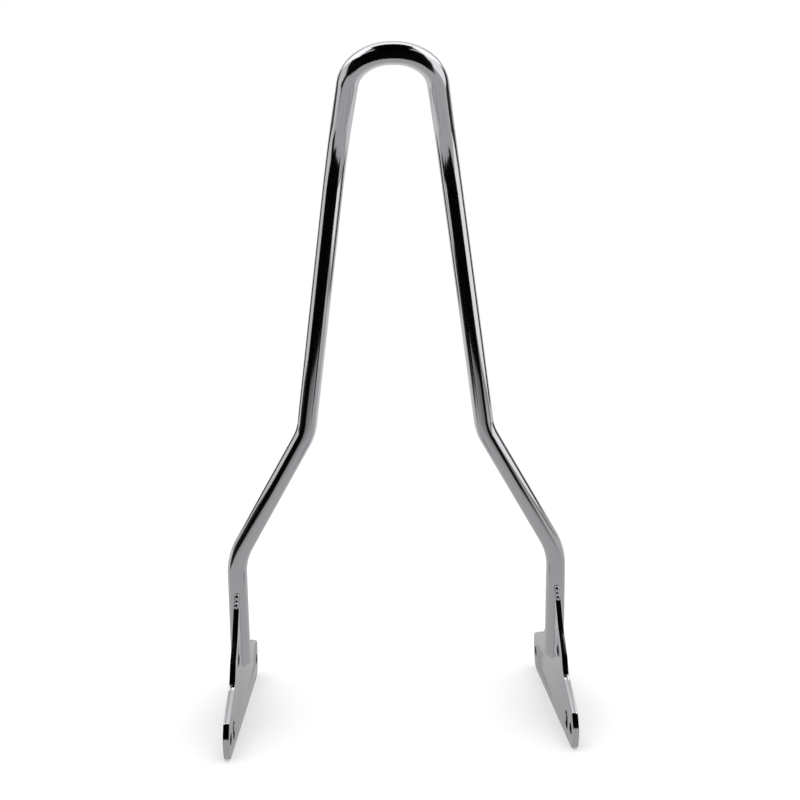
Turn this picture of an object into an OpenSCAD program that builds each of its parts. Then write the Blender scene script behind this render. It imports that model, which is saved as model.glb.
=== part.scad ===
// Sissy bar for a motorbike: one bent round bar, slotted over a flat side plate at each foot.
// X runs across the bike to its right, +Y points to its front and +Z up.
// The origin is midway between the side plates, on the axis through their front bolt holes.
// Each side plate stands on its straight bottom edge, and the bar leans back from it.

/* [Bar] */
// Diameter of the round bar
bar_d = 16; // [14:0.5:18]
// Distance between the centre lines of the lower legs
stance_w = 266.4; // [240:0.2:290]
// Distance between the centre lines at the knees, where the sides start to splay
knee_w = 146; // [130:1:160]
// Distance between the centre lines at the kick
kick_w = 86.4; // [80:0.2:96]
// Distance between the centre lines where the sides would meet the top of the crown
crown_w = 57.6; // [56:0.2:64]
// Length of the bevel on the bar's foot
foot_bevel = 5.5; // [3:0.5:6]

/* [Lengths along the leg] */
// Foot to elbow
elbow_s = 98.4; // [94:0.2:115]
// Foot to knee
knee_s = 203.7; // [190:0.1:220]
// Foot to kick
kick_s = 426.8; // [380:0.2:480]
// Kick to the top of the crown
crown_rise = 94; // [88:1:110]

/* [Angles] */
// Backward lean of the legs from upright
lean = 7.2; // [2:0.2:12]
// Further backward tilt of the crown
kick = 44.5; // [20:0.5:50]

/* [Bend radii at the centre line] */
// Elbows
elbow_r = 50; // [30:1:55]
// Knees
knee_r = 40; // [30:1:60]
// Kick
kick_r = 80; // [50:1:90]
// Crown
crown_r = 32; // [26:0.5:32]

/* [Side plate] */
// Thickness of the plate
plate_t = 4.8; // [4:0.1:6]
// Distance back from the front bolt hole to the bar's foot
foot_back = 84.4; // [82:0.2:86]
// Height of the bar's foot above the front bolt hole
foot_up = 23; // [21:0.5:25]
// Distance back from the front bolt hole to the tip of the nose
nose_back = 178.6; // [177:0.2:181]
// Distance forward from the front bolt hole to the front end
toe_ahead = 9.5; // [8:0.5:14]
// Depth of the bottom edge below the front bolt hole
edge_below = 16.4; // [15:0.2:20]
// Length of bar that is slotted over the plate
slotted = 68.5; // [66:0.5:72]

/* [Holes] */
// Diameter of the round bolt holes
hole_d = 9; // [8:0.1:10]
// Distance back to the rear bolt hole
rear_hole_back = 167; // [165:0.5:168]
// Distance back to the upright slot
slot_back = 150.5; // [148:0.5:152]
// Drop of the rear hole and the slot below the front hole
rear_hole_drop = 2.3; // [0:0.1:4]
// Height of the slot from end to end
slot_len = 14.6; // [11:0.2:16]
// Distance back to the middle hole
middle_hole_back = 114.6; // [112:0.2:118]
// Height of the middle hole above the front hole
middle_hole_up = 40.4; // [36:0.2:42]

/* [Hidden] */
$fn = 96;
bar_r = bar_d / 2;
plate_x = stance_w / 2;
proud = 0.5; // how far the plate's edge stands out of the slotted bar
puddle_r = 3.1;
swell = 0.03; // how much fuller a bend is than the straight runs
lap = 0.5; // how far a straight run reaches into its bends
chrome = [0.78, 0.79, 0.81];
weld_chrome = [0.66, 0.67, 0.69];

function unit(v) = v / norm(v);

// A point in the leg's leaning plane: x across, s up the leg from the foot
function leg_point(x, s) = [x, -foot_back - s * sin(lean), foot_up + s * cos(lean)];
crown_dir = [0, -sin(lean + kick), cos(lean + kick)];

// Corners of the bar's centre line from the right foot to the left one, and the bend at each
right_corners = [
    leg_point(plate_x, 0),
    leg_point(plate_x, elbow_s),
    leg_point(knee_w / 2, knee_s),
    leg_point(kick_w / 2, kick_s),
    leg_point(crown_w / 2, kick_s) + crown_rise * crown_dir
];
right_radii = [0, elbow_r, knee_r, kick_r, crown_r];
last = len(right_corners) - 1;
function across(p) = [-p.x, p.y, p.z];
path = concat(right_corners, [for (i = [last:-1:0]) across(right_corners[i])]);
radii = concat(right_radii, [for (i = [last:-1:0]) right_radii[i]]);
last_bend = len(path) - 2;

// At bend i: the ways back and on along the bar, the turn, and what it takes from each run
function back(i) = unit(path[i - 1] - path[i]);
function on(i) = unit(path[i + 1] - path[i]);
function turn(i) = 180 - acos(back(i) * on(i));
function trim(i) = radii[i] * tan(turn(i) / 2);
function bend_centre(i) = path[i] + unit(back(i) + on(i)) * radii[i] / cos(turn(i) / 2);

// Bend i, a little fuller than the straight runs that reach into it
module bend(i) {
    out = unit(path[i] + back(i) * trim(i) - bend_centre(i));
    ahead = -back(i);
    up = cross(out, ahead);
    multmatrix([
        [out.x, ahead.x, up.x, bend_centre(i).x],
        [out.y, ahead.y, up.y, bend_centre(i).y],
        [out.z, ahead.z, up.z, bend_centre(i).z],
        [0, 0, 0, 1]
    ])
        rotate_extrude(angle = turn(i))
            translate([radii[i], 0])
                circle(r = bar_r + swell);
}

// Straight run from bend i to the next
module run(i) {
    a = path[i] + on(i) * (trim(i) - lap);
    b = path[i + 1] + back(i + 1) * (trim(i + 1) - lap);
    translate(a)
        rotate([0, acos(on(i).z), atan2(on(i).y, on(i).x)])
            cylinder(h = norm(b - a), r = bar_r);
}

// Puts a child that is drawn on the right also on the left, where side is -1
module on_side(side)
    mirror([side < 0 ? 1 : 0, 0, 0])
        children();

// Right lower leg with its bevelled foot
module lower_leg() {
    leg_end = elbow_s - trim(1) + lap;
    translate(path[0])
        rotate([lean, 0, 0])
            rotate_extrude()
                polygon([[0, 0], [bar_r - foot_bevel, 0], [bar_r, foot_bevel],
                         [bar_r, leg_end], [0, leg_end]]);
}

// The bent bar, slotted for the plates
module hoop_bar() {
    color(chrome)
        difference() {
            union() {
                for (side = [-1, 1])
                    on_side(side) lower_leg();
                for (i = [1:last_bend])
                    bend(i);
                for (i = [1:last_bend - 1])
                    run(i);
            }
            for (side = [-1, 1])
                on_side(side) plate_blank();
        }
}

// Side plate outline, with y to the right and z up

// A point beside the leg: s up from the foot, ahead of its centre line
function beside_leg(s, ahead) =
    [-foot_back - s * sin(lean) + ahead * cos(lean), foot_up + s * cos(lean) + ahead * sin(lean)];
edge_off = bar_r + proud;

// Each corner has its place and its rounding, counter-clockwise from the nose
outline = [
    [[-nose_back, -0.5], 15],
    [[5.4 - nose_back, -edge_below], 7],
    [[toe_ahead, -edge_below], 14],
    [[toe_ahead, 14.4], 7],
    [[-26, 27.4], 12],
    [[-38, 27.6], 16],
    [beside_leg(35, 11), 18],
    [beside_leg(56, edge_off), 0],
    [beside_leg(slotted, edge_off), 0],
    [beside_leg(slotted, -edge_off), 0],
    [[-117.5, 60.5], 60],
    [[-132.5, 43], 10],
    [[-138.5, 28.5], 14],
    [[5.1 - nose_back, 12], 4]
];
corners = len(outline);
function corner(i) = outline[(i + corners) % corners][0];
function rounding(i) = outline[(i + corners) % corners][1];
function to_last(i) = unit(corner(i - 1) - corner(i));
function to_next(i) = unit(corner(i + 1) - corner(i));
function arc_angle(i) = 180 - acos(to_last(i) * to_next(i));
function arc_centre(i) =
    corner(i) + unit(to_last(i) + to_next(i)) * rounding(i) / cos(arc_angle(i) / 2);

// Points of the arc at corner i, one every 8 degrees or less, or the bare corner
function arc(i) =
    rounding(i) == 0 ? [corner(i)] :
    let(c = arc_centre(i), reach = rounding(i) * tan(arc_angle(i) / 2), steps = ceil(arc_angle(i) / 8),
        first = corner(i) + to_last(i) * reach - c, end = corner(i) + to_next(i) * reach - c)
    [for (k = [0:steps], a = arc_angle(i) * k / steps)
        c + (first * sin(arc_angle(i) - a) + end * sin(a)) / sin(arc_angle(i))];

module plate_outline()
    polygon([for (i = [0:corners - 1], p = arc(i)) p]);

// Stands an outline up on the right, as a sheet of the plate's thickness
module stand_up()
    translate([plate_x - plate_t / 2, 0, 0])
        rotate([90, 0, 90])
            linear_extrude(height = plate_t)
                children();

module plate_blank()
    stand_up()
        plate_outline();

module round_hole(back, up)
    translate([-back, up])
        circle(d = hole_d);

// The upright slot between the rear and the middle hole
module upright_slot() {
    run = slot_len - hole_d;
    translate([-slot_back, -rear_hole_drop]) {
        for (up = [-run / 2, run / 2])
            translate([0, up])
                circle(d = hole_d);
        square([hole_d, run], center = true);
    }
}

module side_plate(side) {
    color(chrome)
        on_side(side)
            stand_up()
                difference() {
                    plate_outline();
                    round_hole(0, 0);
                    round_hole(rear_hole_back, -rear_hole_drop);
                    round_hole(middle_hole_back, middle_hole_up);
                    upright_slot();
                }
}

// Weld beads: a row of overlapping puddles, large and small by turns, less the metal under them
module weld_bead(side, a, b, puddles) {
    color(weld_chrome)
        on_side(side)
            difference() {
                for (k = [0:puddles - 1]) {
                    p = a + (b - a) * k / (puddles - 1);
                    translate([plate_x, p.x, p.y])
                        sphere(r = k % 2 == 0 ? puddle_r : 0.9 * puddle_r);
                }
                lower_leg();
                plate_blank();
            }
}

// Rear bead: from the bar above the plate's tip down on to the plate's edge
tip = corner(9);
module rear_weld(side)
    weld_bead(side, beside_leg(slotted + 2, -bar_r), tip + 8.5 * to_next(9), 4);

// Front bead: down the seam between the bar and the plate's edge
module front_weld(side)
    weld_bead(side, beside_leg(slotted + 1, bar_r), beside_leg(48, bar_r + 1.5), 6);

hoop_bar();
side_plate(-1);  // left_side_plate
side_plate(1);  // right_side_plate
rear_weld(-1);  // left_rear_weld
rear_weld(1);  // right_rear_weld
front_weld(-1);  // left_front_weld
front_weld(1);  // right_front_weld
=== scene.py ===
"""Looks of a motorbike sissy bar: a bent chromed bar, slotted and welded on to two flat plates."""

import logging
import math
from dataclasses import dataclass, field
from enum import Enum

import bpy
from mathutils import Matrix, Vector


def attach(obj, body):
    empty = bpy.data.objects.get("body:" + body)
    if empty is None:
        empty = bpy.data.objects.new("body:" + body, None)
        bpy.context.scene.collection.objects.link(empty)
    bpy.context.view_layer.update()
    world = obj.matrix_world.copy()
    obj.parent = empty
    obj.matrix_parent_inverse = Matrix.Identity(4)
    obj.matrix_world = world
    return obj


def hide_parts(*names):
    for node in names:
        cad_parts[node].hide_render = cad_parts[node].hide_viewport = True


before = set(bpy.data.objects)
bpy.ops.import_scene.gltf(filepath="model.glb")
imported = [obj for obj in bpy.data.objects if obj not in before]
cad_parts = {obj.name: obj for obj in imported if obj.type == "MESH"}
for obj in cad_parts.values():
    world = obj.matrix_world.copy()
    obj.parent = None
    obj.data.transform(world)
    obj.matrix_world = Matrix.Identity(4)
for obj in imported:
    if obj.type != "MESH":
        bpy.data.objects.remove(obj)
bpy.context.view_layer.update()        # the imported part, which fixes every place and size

log = logging.getLogger("sissy_bar")
MM = 0.001


class Slot(Enum):
    """Material slots of the part's record."""

    BAR = "bar_chrome"
    PLATE = "plate_chrome"
    WELD = "weld_chrome"


class Side(Enum):
    """The two sides of the bike, with the sign of their x."""

    LEFT = -1
    RIGHT = 1

    @property
    def word(self) -> str:
        """The side's name in lower case."""
        return self.name.lower()


class Sock:
    """An output socket, on which Python operators add Math nodes."""

    def __init__(self, nodes: "Nodes", socket: bpy.types.NodeSocket) -> None:
        """Wraps a socket of a tree.

        Args:
            nodes: the tree's helper.
            socket: the output socket.
        """
        self.nodes = nodes
        self.socket = socket

    def math(self, operation: str, *values: "float | Sock") -> "Sock":
        """Puts values through a Math node.

        Args:
            operation: the node's operation.
            values: its inputs in order.

        Returns:
            The node's result.
        """
        return self.nodes.add("Math", {"operation": operation}, dict(enumerate(values)))

    def __add__(self, other: "float | Sock") -> "Sock":
        """Sum."""
        return self.math("ADD", self, other)

    def __radd__(self, other: float) -> "Sock":
        """Sum with the number first."""
        return self.math("ADD", other, self)

    def __mul__(self, other: "float | Sock") -> "Sock":
        """Product."""
        return self.math("MULTIPLY", self, other)

    def __rmul__(self, other: float) -> "Sock":
        """Product with the number first."""
        return self.math("MULTIPLY", other, self)

    def ramp(self, low: float, high: float, at_low: float, at_high: float) -> "Sock":
        """Runs smoothly from one value to another.

        Args:
            low: where the run starts.
            high: where it ends.
            at_low: the result up to low.
            at_high: the result from high on.

        Returns:
            The smoothed value.
        """
        return self.nodes.add("MapRange", {"interpolation_type": "SMOOTHSTEP"},
                              {"Value": self, "From Min": low, "From Max": high,
                               "To Min": at_low, "To Max": at_high})


class Nodes:
    """Adds nodes to one tree."""

    def __init__(self, tree: bpy.types.NodeTree, prefix: str = "ShaderNode") -> None:
        """Starts on a tree.

        Args:
            tree: the tree to fill, which is emptied.
            prefix: the start of its node types.
        """
        tree.nodes.clear()
        self.tree = tree
        self.prefix = prefix

    def add(self, kind: str, settings: dict | None = None, inputs: dict | None = None,
            output: int | str = 0) -> Sock | None:
        """Adds a node.

        Args:
            kind: the node's type without the prefix.
            settings: its properties, which are set first.
            inputs: values or sockets by input name or number.
            output: the wanted output, by name or number.

        Returns:
            The wanted output, or None for a node that has none.
        """
        node = self.tree.nodes.new(self.prefix + kind)
        for name, value in (settings or {}).items():
            setattr(node, name, value)
        for name, value in (inputs or {}).items():
            if isinstance(value, Sock):
                self.tree.links.new(value.socket, node.inputs[name])
            else:
                node.inputs[name].default_value = value
        return Sock(self, node.outputs[output]) if node.outputs else None


@dataclass(frozen=True)
class Chrome:
    """Bright chrome plating, with faint waves of the polished steel under it.

    Sizes of the pattern are in metres, colours are linear, and each reach is the
    span of the noise over which one state passes into the other.
    """

    name: str
    tint: tuple[float, float, float] = (0.79, 0.795, 0.80)
    cloud: tuple[float, float, float] = (0.73, 0.735, 0.745)
    cloud_size: float = 0.03
    cloud_reach: tuple[float, float] = (0.35, 0.7)
    shine: float = 0.025
    haze: float = 0.055
    haze_size: float = 0.012
    haze_reach: tuple[float, float] = (0.4, 0.75)
    wave_size: float = 0.02
    wave_height: float = 0.00001

    def noise(self, nodes: Nodes, place: Sock, size: float, detail: float) -> Sock:
        """Noise of a given feature size.

        Args:
            nodes: the material's tree.
            place: the coordinates to read.
            size: the size of one feature.
            detail: how many finer layers it has.

        Returns:
            The noise, about 0.5 on average.
        """
        return nodes.add("TexNoise", {"noise_dimensions": "3D"},
                         {"Vector": place, "Scale": 1 / size, "Detail": detail, "Roughness": 0.5})

    def material(self) -> bpy.types.Material:
        """Builds the finish, or finds it if another piece has it already.

        Returns:
            The material.
        """
        if self.name in bpy.data.materials:
            return bpy.data.materials[self.name]
        made = bpy.data.materials.new(self.name)
        made.use_nodes = True
        nodes = Nodes(made.node_tree)
        place = nodes.add("TexCoord", output="Object")
        clouds = self.noise(nodes, place, self.cloud_size, 2).ramp(*self.cloud_reach, 0, 1)
        colour = nodes.add("Mix", {"data_type": "RGBA"},
                           {0: clouds, 6: (*self.tint, 1), 7: (*self.cloud, 1)}, output=2)
        rough = self.noise(nodes, place, self.haze_size, 4).ramp(
            *self.haze_reach, self.shine, self.haze)
        height = self.noise(nodes, place, self.wave_size, 1) * self.wave_height
        normal = nodes.add("Bump", None, {"Strength": 1, "Distance": 1, "Height": height})
        metal = nodes.add("BsdfPrincipled", None, {"Base Color": colour, "Metallic": 1,
                                                   "Roughness": rough, "Normal": normal})
        nodes.add("OutputMaterial", None, {"Surface": metal})
        return made


@dataclass(frozen=True)
class Card:
    """A studio card that only gloss sees, facing the object.

    Corners are in metres, and the light runs from near to far along the given axis.
    """

    name: str
    corners: tuple[Vector, ...]
    near: float
    far: float
    axis: int = 1
    start: float = 0.0
    end: float = 1.0

    def build(self) -> bpy.types.Object:
        """Builds the card and hides it from all but glossy rays.

        Returns:
            The card.
        """
        mesh = bpy.data.meshes.new(self.name)
        mesh.from_pydata(self.corners, [], [tuple(range(len(self.corners)))])
        card = bpy.data.objects.new(self.name, mesh)
        bpy.context.scene.collection.objects.link(card)
        made = bpy.data.materials.new(self.name)
        made.use_nodes = True
        nodes = Nodes(made.node_tree)
        place = nodes.add("TexCoord", output="Object")
        split = nodes.add("SeparateXYZ", None, {0: place}, output=self.axis)
        light = nodes.add("Emission", None,
                          {"Strength": split.ramp(self.start, self.end, self.near, self.far)})
        nodes.add("OutputMaterial", None, {"Surface": light})
        mesh.materials.append(made)
        card.visible_camera = card.visible_diffuse = card.visible_shadow = False
        card.visible_transmission = card.visible_volume_scatter = False
        return card


@dataclass(frozen=True)
class SideCard:
    """An upright card beside the object, in a plane across x, of even light."""

    name: str
    x: float
    ys: tuple[float, float]
    zs: tuple[float, float]
    light: float

    def card(self) -> Card:
        """Makes the card of its span across y and z.

        Returns:
            The card, which isn't built yet.
        """
        (back, front), (low, high) = self.ys, self.zs
        corners = ((back, low), (front, low), (front, high), (back, high))
        return Card(self.name, tuple(Vector((self.x, y, z)) for y, z in corners),
                    self.light, self.light)


@dataclass(frozen=True)
class Fade:
    """Light that grows from nothing over a span of depth."""

    start: float
    end: float
    light: float

    def over(self, depth: Sock) -> Sock:
        """The light at a depth."""
        return self.light * depth.ramp(self.start, self.end, 0, 1)


def dress(piece: bpy.types.Object, replaced: str) -> None:
    """Ties a finished piece to the part.

    Args:
        piece: the piece, in place.
        replaced: the CAD node that it stands for.
    """
    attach(piece, "root")
    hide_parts(replaced)
    log.info("%s: %d faces", piece.name, len(piece.data.polygons))


def freeze(piece: bpy.types.Object) -> None:
    """Turns a piece with its modifiers into a plain mesh.

    Args:
        piece: the piece to freeze.
    """
    graph = bpy.context.evaluated_depsgraph_get()
    mesh = bpy.data.meshes.new_from_object(piece.evaluated_get(graph), depsgraph=graph)
    mesh.name = piece.name
    piece.modifiers.clear()
    piece.data = mesh


def new_piece(name: str, mesh: bpy.types.Mesh) -> bpy.types.Object:
    """Makes an object of a mesh and puts it in the scene.

    Args:
        name: the piece's name.
        mesh: its mesh.

    Returns:
        The object.
    """
    piece = bpy.data.objects.new(name, mesh)
    bpy.context.scene.collection.objects.link(piece)
    return piece


def grown(piece: bpy.types.Object, tree: bpy.types.NodeTree,
          sizes: dict[str, float | int]) -> None:
    """Puts a piece through a geometry tree and keeps the result as its mesh.

    Args:
        piece: the piece.
        tree: the geometry tree.
        sizes: the tree's inputs by name.
    """
    modifier = piece.modifiers.new("shape", "NODES")
    modifier.node_group = tree
    for item in tree.interface.items_tree:
        if item.in_out == "INPUT" and item.name in sizes:
            modifier[item.identifier] = sizes[item.name]
    freeze(piece)


def shape_tree(name: str,
               sizes: dict[str, str]) -> tuple[bpy.types.NodeTree, Nodes, dict[str, Sock]]:
    """Starts a geometry tree.

    Args:
        name: the tree's name.
        sizes: the inputs by name, with their kind of socket.

    Returns:
        The tree, its helper, and its inputs by name.
    """
    tree = bpy.data.node_groups.new(name, "GeometryNodeTree")
    kinds = {"Geometry": "NodeSocketGeometry", **sizes}
    for word, kind in kinds.items():
        tree.interface.new_socket(word, in_out="INPUT", socket_type=kind)
    tree.interface.new_socket("Geometry", in_out="OUTPUT", socket_type="NodeSocketGeometry")
    nodes = Nodes(tree, "")
    start = tree.nodes.new("NodeGroupInput")
    return tree, nodes, {word: Sock(nodes, start.outputs[word]) for word in kinds}


def close_tree(nodes: Nodes, shape: Sock, material: bpy.types.Material) -> None:
    """Ends a geometry tree with real faces and their material.

    Args:
        nodes: the tree's helper.
        shape: the shape so far.
        material: the finish.
    """
    smooth = nodes.add("GeometryNodeSetShadeSmooth", None, {"Geometry": shape})
    real = nodes.add("GeometryNodeRealizeInstances", None, {"Geometry": smooth})
    dressed = nodes.add("GeometryNodeSetMaterial", None, {"Geometry": real, "Material": material})
    nodes.add("NodeGroupOutput", None, {"Geometry": dressed})


@dataclass
class HoopBar:
    """The bent round bar, swept along its centre line from foot to foot."""

    finish: Chrome
    radius: float = 8 * MM
    stance: float = 266.4 * MM
    knees: float = 146 * MM
    kick_width: float = 86.4 * MM
    crown_width: float = 57.6 * MM
    bevel: float = 5.5 * MM
    elbow_at: float = 98.4 * MM
    knee_at: float = 203.7 * MM
    kick_at: float = 426.8 * MM
    crown_rise: float = 94 * MM
    lean: float = math.radians(7.2)
    kick: float = math.radians(44.5)
    foot_back: float = 84.4 * MM
    foot_up: float = 23 * MM
    bends: tuple[float, ...] = (50 * MM, 40 * MM, 80 * MM, 32 * MM)
    bevel_edge: float = 0.35 * MM    # softens both edges of the foot's bevel
    bend_steps: int = 28
    sides: int = 96
    crease: float = math.radians(38)

    def leg_point(self, x: float, up_leg: float) -> Vector:
        """A point in the plane of the legs.

        Args:
            x: the place across.
            up_leg: the distance from the foot.

        Returns:
            The point.
        """
        return Vector((x, -self.foot_back - up_leg * math.sin(self.lean),
                       self.foot_up + up_leg * math.cos(self.lean)))

    def half_line(self) -> list[tuple[Vector, float, float]]:
        """Points of the right half from the foot to the crown.

        Returns:
            For each point its place, its bend's radius and its share of the bar's radius.
        """
        tilt = self.lean + self.kick
        crown = self.leg_point(self.crown_width / 2, self.kick_at)
        crown += self.crown_rise * Vector((0, -math.sin(tilt), math.cos(tilt)))
        foot = 1 - self.bevel / self.radius
        soft = self.bevel_edge
        line = [(self.leg_point(self.stance / 2, 0), 0, foot - soft / self.radius),
                (self.leg_point(self.stance / 2, soft * 0.4), 0, foot),
                (self.leg_point(self.stance / 2, self.bevel - soft), 0, 1 - soft / self.radius),
                (self.leg_point(self.stance / 2, self.bevel + soft), 0, 1)]
        for width, up_leg, bend in ((self.stance, self.elbow_at, self.bends[0]),
                                    (self.knees, self.knee_at, self.bends[1]),
                                    (self.kick_width, self.kick_at, self.bends[2])):
            line.append((self.leg_point(width / 2, up_leg), bend, 1))
        return line + [(crown, self.bends[3], 1)]

    def tree(self) -> bpy.types.NodeTree:
        """The tree that bends the line and sweeps the bar along it.

        Returns:
            The geometry tree.
        """
        tree, nodes, given = shape_tree("bent bar", {
            "Bar Radius": "NodeSocketFloat", "Bend Steps": "NodeSocketInt",
            "Sides": "NodeSocketInt"})
        bend, share = (nodes.add("GeometryNodeInputNamedAttribute", {"data_type": "FLOAT"},
                                 {"Name": word}) for word in ("bend", "share"))
        line = nodes.add("GeometryNodeMeshToCurve", None, {"Mesh": given["Geometry"]})
        bent = nodes.add("GeometryNodeFilletCurve", {"mode": "POLY"}, {
            "Curve": line, "Count": given["Bend Steps"], "Radius": bend, "Limit Radius": True})
        ring = nodes.add("GeometryNodeCurvePrimitiveCircle", {"mode": "RADIUS"}, {
            "Resolution": given["Sides"], "Radius": given["Bar Radius"]})
        swept = nodes.add("GeometryNodeCurveToMesh", None, {
            "Curve": bent, "Profile Curve": ring, "Scale": share, "Fill Caps": True})
        close_tree(nodes, swept, self.finish.material())
        return tree

    def build(self, plates: list[bpy.types.Object]) -> bpy.types.Object:
        """Sweeps the bar and cuts its slots over the plates.

        Args:
            plates: the plates that it sits on.

        Returns:
            The finished bar.
        """
        half = self.half_line()
        whole = half + [(Vector((-p.x, p.y, p.z)), bend, share)
                        for p, bend, share in reversed(half)]
        mesh = bpy.data.meshes.new("bent_bar")
        mesh.from_pydata([p for p, _, _ in whole], [(i, i + 1) for i in range(len(whole) - 1)], [])
        for name, column in (("bend", 1), ("share", 2)):
            values = mesh.attributes.new(name, "FLOAT", "POINT")
            values.data.foreach_set("value", [row[column] for row in whole])
        bar = new_piece("bent_bar", mesh)
        grown(bar, self.tree(), {"Bar Radius": self.radius, "Bend Steps": self.bend_steps,
                                 "Sides": self.sides})
        for plate in plates:
            cut = bar.modifiers.new("slot", "BOOLEAN")
            cut.operation, cut.solver, cut.object = "DIFFERENCE", "EXACT", plate
        freeze(bar)
        bar.data.shade_smooth()
        bar.data.set_sharp_from_angle(angle=self.crease)
        for name in ("bend", "share"):
            if name in bar.data.attributes:
                bar.data.attributes.remove(bar.data.attributes[name])
        dress(bar, "hoop_bar")
        return bar


@dataclass
class SidePlate:
    """One flat side plate with its rounded rim, and its hole walls darkened as painted shade.

    A hole's centre is its distance back from the front hole and its height over it, and the
    upright slot counts as two holes, one at each end.
    """

    side: Side
    finish: Chrome
    # the near-black finish of the hole walls: painted shade in the holes
    hole_shade: Chrome
    merge: float = 0.002 * MM
    flat: float = math.radians(0.5)
    rim: float = 0.4 * MM
    rim_steps: int = 3
    rim_turn: float = math.radians(50)
    crease: float = math.radians(35)
    holes: tuple[tuple[float, float], ...] = (
        (0, 0), (0.167, -0.0023), (0.1146, 0.0404), (0.1505, -0.0051), (0.1505, 0.0005))
    hole_reach: float = 4.9 * MM     # a hole's wall lies within this of its centre

    def blank(self) -> bpy.types.Object:
        """Merges a copy of the plate's solid.

        Returns:
            The plate with sharp edges.
        """
        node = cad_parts[f"{self.side.word}_side_plate"]
        plate = new_piece(f"{self.side.word}_plate", node.data.copy())
        weld = plate.modifiers.new("merge", "WELD")
        weld.merge_threshold = self.merge
        flat = plate.modifiers.new("flat faces", "DECIMATE")
        flat.decimate_type, flat.angle_limit = "DISSOLVE", self.flat
        freeze(plate)
        return plate

    def finish_off(self, plate: bpy.types.Object) -> None:
        """Rounds the rim and dresses the plate.

        Args:
            plate: the plate with sharp edges.
        """
        rim = plate.modifiers.new("rim", "BEVEL")
        rim.width, rim.segments = self.rim, self.rim_steps
        rim.limit_method, rim.angle_limit = "ANGLE", self.rim_turn
        freeze(plate)
        plate.data.shade_smooth()
        plate.data.set_sharp_from_angle(angle=self.crease)
        plate.data.materials.clear()
        plate.data.materials.append(self.finish.material())
        plate.data.materials.append(self.hole_shade.material())
        for face in plate.data.polygons:
            back, up = -face.center.y, face.center.z
            near = min(math.dist((back, up), hole) for hole in self.holes)
            in_hole = near < self.hole_reach and abs(face.normal.x) < 0.5
            # the hole walls take the near-black finish: painted shade in the holes
            face.material_index = int(in_hole)
        dress(plate, f"{self.side.word}_side_plate")


@dataclass
class WeldBead:
    """A short bead of overlapping puddles, as a hand weld leaves."""

    name: str
    side: Side
    finish: Chrome
    start: tuple[float, float]
    end: tuple[float, float]
    puddles: int
    across: float = 133.2 * MM
    puddle: float = 3.1 * MM
    small: float = 0.9               # size of every second puddle beside the others
    ball_detail: int = 4
    melt_size: float = 0.22 * MM
    soften_by: float = 0.5
    soften_times: int = 6

    def tree(self) -> bpy.types.NodeTree:
        """The tree that sets puddles along the bead, large and small by turns.

        Returns:
            The geometry tree.
        """
        tree, nodes, given = shape_tree("weld bead", {
            "Puddles": "NodeSocketInt", "Puddle Radius": "NodeSocketFloat",
            "Small": "NodeSocketFloat"})
        line = nodes.add("GeometryNodeMeshToCurve", None, {"Mesh": given["Geometry"]})
        spots = nodes.add("GeometryNodeResampleCurve", None, {
            "Curve": line, "Count": given["Puddles"]})
        drop = nodes.add("GeometryNodeMeshIcoSphere", None, {
            "Radius": given["Puddle Radius"], "Subdivisions": self.ball_detail})
        odd = nodes.add("ShaderNodeMath", {"operation": "MODULO"}, {
            0: nodes.add("GeometryNodeInputIndex"), 1: 2.0})
        size = nodes.add("ShaderNodeMapRange", None, {
            "Value": odd, "To Min": 1.0, "To Max": given["Small"]})
        bead = nodes.add("GeometryNodeInstanceOnPoints", None, {
            "Points": spots, "Instance": drop, "Scale": size})
        close_tree(nodes, bead, self.finish.material())
        return tree

    def build(self) -> bpy.types.Object:
        """Builds the bead and melts its puddles together.

        Returns:
            The finished bead.
        """
        x = self.side.value * self.across
        mesh = bpy.data.meshes.new(self.name)
        mesh.from_pydata([(x, *self.start), (x, *self.end)], [(0, 1)], [])
        bead = new_piece(f"{self.side.word}_{self.name}_bead", mesh)
        grown(bead, self.tree(), {"Puddles": self.puddles, "Puddle Radius": self.puddle,
                                  "Small": self.small})
        melt = bead.modifiers.new("melt", "REMESH")
        melt.mode, melt.voxel_size, melt.use_smooth_shade = "VOXEL", self.melt_size, True
        soften = bead.modifiers.new("soften", "SMOOTH")
        soften.factor, soften.iterations = self.soften_by, self.soften_times
        freeze(bead)
        bead.data.materials.clear()
        bead.data.materials.append(self.finish.material())
        dress(bead, f"{self.side.word}_{self.name}_weld")
        return bead


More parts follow.
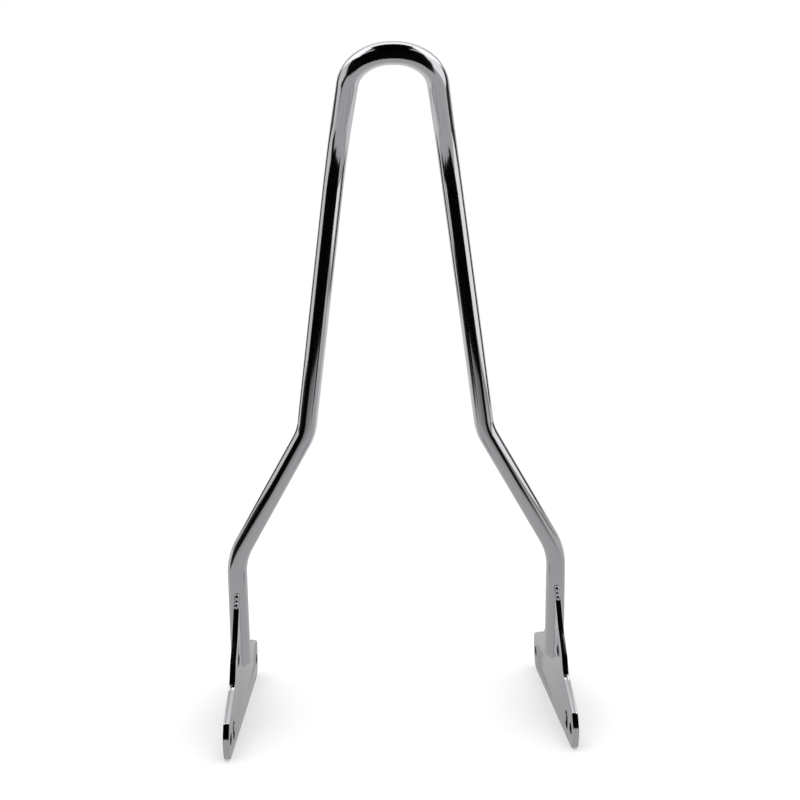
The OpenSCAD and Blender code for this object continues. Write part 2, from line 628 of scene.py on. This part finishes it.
@dataclass
class Studio:
    """The pale floor, the cards that the chrome mirrors, the lamp and the camera.

    Places are in metres, and an edge or a sheet is a row of corners: x and z for the upright
    card in front, x and y for those that lie overhead.
    """

    floor_at: float = -16.4 * MM
    floor_reach: float = 12.0
    floor_colour: float = 0.8
    floor_glow: float = 0.2          # lifts the floor to white for the eye
    floor_grey: float = 0.13         # what the chrome sees of the floor far behind the camera
    floor_near: Fade = Fade(-1.0, -0.25, 0.26)
    floor_beyond: Fade = Fade(-0.15, 0.4, 0.25)
    sky: Fade = Fade(-0.15, 0.25, 0.6)
    front_at: float = -0.33
    front_edge: tuple[tuple[float, float], ...] = (
        (-0.6, 0.09), (-0.16, 0.09), (-0.12, 0.2), (0.12, 0.2), (0.15, 0.09), (0.26, 0.09),
        (0.26, 0.5), (-0.6, 0.5))
    beside: tuple[SideCard, ...] = (
        SideCard("left_low", -0.5, (-0.6, -0.1), (0.0, 0.24), 0.01),
        SideCard("left_middle", -0.5, (-0.27, 0.0), (0.24, 0.7), 0.62),
        SideCard("left_high", -0.5, (-0.5, 0.12), (0.7, 1.4), 1.25),
        SideCard("left_far", -0.5, (0.1, 0.45), (0.2, 0.7), 0.03),
        SideCard("right_low", 0.5, (-0.5, 0.1), (0.04, 0.17), 0.45),
        SideCard("right_gap", 0.5, (-0.5, -0.1), (0.17, 0.215), 0.2),
        SideCard("right_middle", 0.5, (-0.5, -0.05), (0.215, 0.7), 0.9),
        SideCard("right_high", 0.5, (-0.5, 0.12), (0.7, 1.4), 1.25),
        SideCard("right_far", 0.5, (-0.03, 0.25), (0.215, 0.7), 0.02))
    over_at: float = 0.75
    over_sheet: tuple[tuple[float, float], ...] = (
        (0.2, -0.4), (0.5, -0.4), (0.5, -0.52), (0.2, -0.52))
    over_light: float = 0.5
    overhead_at: float = 1.0
    overhead_sheet: tuple[tuple[float, float], ...] = (
        (-0.3, -0.26), (0.3, -0.26), (0.3, 0.6), (-0.3, 0.6))
    overhead_light: tuple[float, float] = (1.2, 0.65)
    overhead_turn: tuple[float, float] = (-0.12, 0.1)
    lamp_place: tuple[float, float, float] = (-0.1, -0.3, 2.0)
    lamp_width: float = 1.6
    lamp_power: float = 8.0
    eye: Vector = field(default_factory=lambda: Vector((-0.016358, -0.923093, 0.328592)))
    right: Vector = field(default_factory=lambda: Vector((0.998968, -0.043131, -0.014217)))
    down: Vector = field(default_factory=lambda: Vector((-0.016185, -0.045626, -0.998827)))
    ahead: Vector = field(default_factory=lambda: Vector((0.042432, 0.998027, -0.046277)))
    lens: float = 45.0
    sensor: float = 36.0
    shift: tuple[float, float] = (-0.0212, -0.0625)

    def camera(self) -> None:
        """Sets the camera at the photograph's place."""
        data = bpy.data.cameras.new("camera")
        data.lens, data.sensor_width = self.lens, self.sensor
        data.shift_x, data.shift_y = self.shift
        data.clip_start, data.clip_end = 0.01, 50
        camera = bpy.data.objects.new("camera", data)
        turn = Matrix((self.right, -self.down, -self.ahead)).transposed().to_4x4()
        camera.matrix_world = Matrix.Translation(self.eye) @ turn
        bpy.context.scene.collection.objects.link(camera)
        bpy.context.scene.camera = camera

    def floor(self) -> None:
        """Lays a floor that is white to the eye with a faint shadow, and grey in the chrome."""
        mesh = bpy.data.meshes.new("floor")
        z, reach = self.floor_at, self.floor_reach
        mesh.from_pydata([(-reach, -reach, z), (reach, -reach, z),
                          (reach, reach, z), (-reach, reach, z)], [], [(0, 1, 2, 3)])
        floor = new_piece("floor", mesh)
        made = bpy.data.materials.new("floor")
        made.use_nodes = True
        nodes = Nodes(made.node_tree)
        place = nodes.add("TexCoord", output="Object")
        depth = nodes.add("SeparateXYZ", None, {0: place}, output=1)
        pale = nodes.add("BsdfDiffuse", None, {"Color": (*[self.floor_colour] * 3, 1)})
        glow = nodes.add("Emission", None, {"Strength": self.floor_glow})
        to_eye = nodes.add("AddShader", None, {0: pale, 1: glow})
        grey = self.floor_grey + self.floor_near.over(depth) + self.floor_beyond.over(depth)
        mirrored = nodes.add("Emission", None, {"Strength": grey})
        is_glossy = nodes.add("LightPath", output="Is Glossy Ray")
        seen = nodes.add("MixShader", None, {0: is_glossy, 1: to_eye, 2: mirrored})
        nodes.add("OutputMaterial", None, {"Surface": seen})
        mesh.materials.append(made)

    def cards(self) -> None:
        """Stands the cards: dark in front, light and dark at the sides, and white above."""
        front = tuple(Vector((x, self.front_at, z)) for x, z in self.front_edge)
        Card("dark_front", front, 0, 0).build()
        for upright in self.beside:
            upright.card().build()
        for side in Side:
            over = tuple(Vector((side.value * x, y, self.over_at)) for x, y in self.over_sheet)
            Card(f"{side.word}_over", over, self.over_light, self.over_light).build()
        overhead = tuple(Vector((x, y, self.overhead_at)) for x, y in self.overhead_sheet)
        start, end = self.overhead_turn
        Card("overhead", overhead, *self.overhead_light, start=start, end=end).build()

    def world(self) -> None:
        """Lights all round: white to the eye, and in the chrome dark behind the camera."""
        world = bpy.data.worlds.new("studio")
        bpy.context.scene.world = world
        world.use_nodes = True
        world.cycles.sampling_method = "NONE"    # keeps its white out of the dark reflections
        nodes = Nodes(world.node_tree)
        way = nodes.add("TexCoord", output="Generated")
        depth = nodes.add("SeparateXYZ", None, {0: way}, output=1)
        seen = nodes.add("Background", None, {"Color": (1, 1, 1, 1), "Strength": 1.0})
        mirrored = nodes.add("Background", None, {"Strength": self.sky.over(depth)})
        is_glossy = nodes.add("LightPath", output="Is Glossy Ray")
        both = nodes.add("MixShader", None, {0: is_glossy, 1: seen, 2: mirrored})
        nodes.add("OutputWorld", None, {"Surface": both})

    def lamp(self) -> None:
        """Hangs one broad soft lamp over the object for the floor's shadow."""
        data = bpy.data.lights.new("soft_lamp", "AREA")
        data.shape, data.energy = "RECTANGLE", self.lamp_power
        data.size = data.size_y = self.lamp_width
        lamp = bpy.data.objects.new("soft_lamp", data)
        lamp.location = self.lamp_place
        lamp.visible_glossy = lamp.visible_camera = False
        bpy.context.scene.collection.objects.link(lamp)

    def build(self) -> None:
        """Sets up the whole studio."""
        self.camera()
        self.floor()
        self.cards()
        self.world()
        self.lamp()
        bpy.context.scene.view_settings.view_transform = "Standard"
        log.info("studio ready")


def main() -> None:
    """Builds the part's pieces and the studio in order."""
    logging.basicConfig(level=logging.INFO, format="%(name)s: %(message)s")
    bar_chrome = Chrome("bar_chrome")
    plate_chrome = Chrome("plate_chrome", haze=0.08, wave_size=0.03, wave_height=0.000012)
    weld_chrome = Chrome("weld_chrome", tint=(0.72, 0.725, 0.73), cloud=(0.6, 0.605, 0.61),
                         shine=0.06, haze=0.1, wave_size=0.004, wave_height=0.00002)
    # dark, rough chrome for the hole walls: painted shade in the holes
    hole_shade_chrome = Chrome("hole_walls_painted_shade", tint=(0.10, 0.10, 0.10), cloud=(0.05, 0.05, 0.05),
                         shine=0.3, haze=0.5, cloud_size=0.002, haze_size=0.002)
    plates = [SidePlate(side, plate_chrome, hole_shade_chrome) for side in Side]
    blanks = [plate.blank() for plate in plates]
    HoopBar(bar_chrome).build(blanks)
    for plate, blank in zip(plates, blanks):
        plate.finish_off(blank)
    for side in Side:
        WeldBead("rear", side, weld_chrome, start=(-0.10073, 0.08847), end=(-0.10550, 0.08244),
                 puddles=3, puddle=2.95 * MM, small=0.78).build()
        WeldBead("front", side, weld_chrome, start=(-0.08517, 0.09295), end=(-0.08099, 0.07181),
                 puddles=6).build()
    Studio().build()


if __name__ == "__main__":
    main()
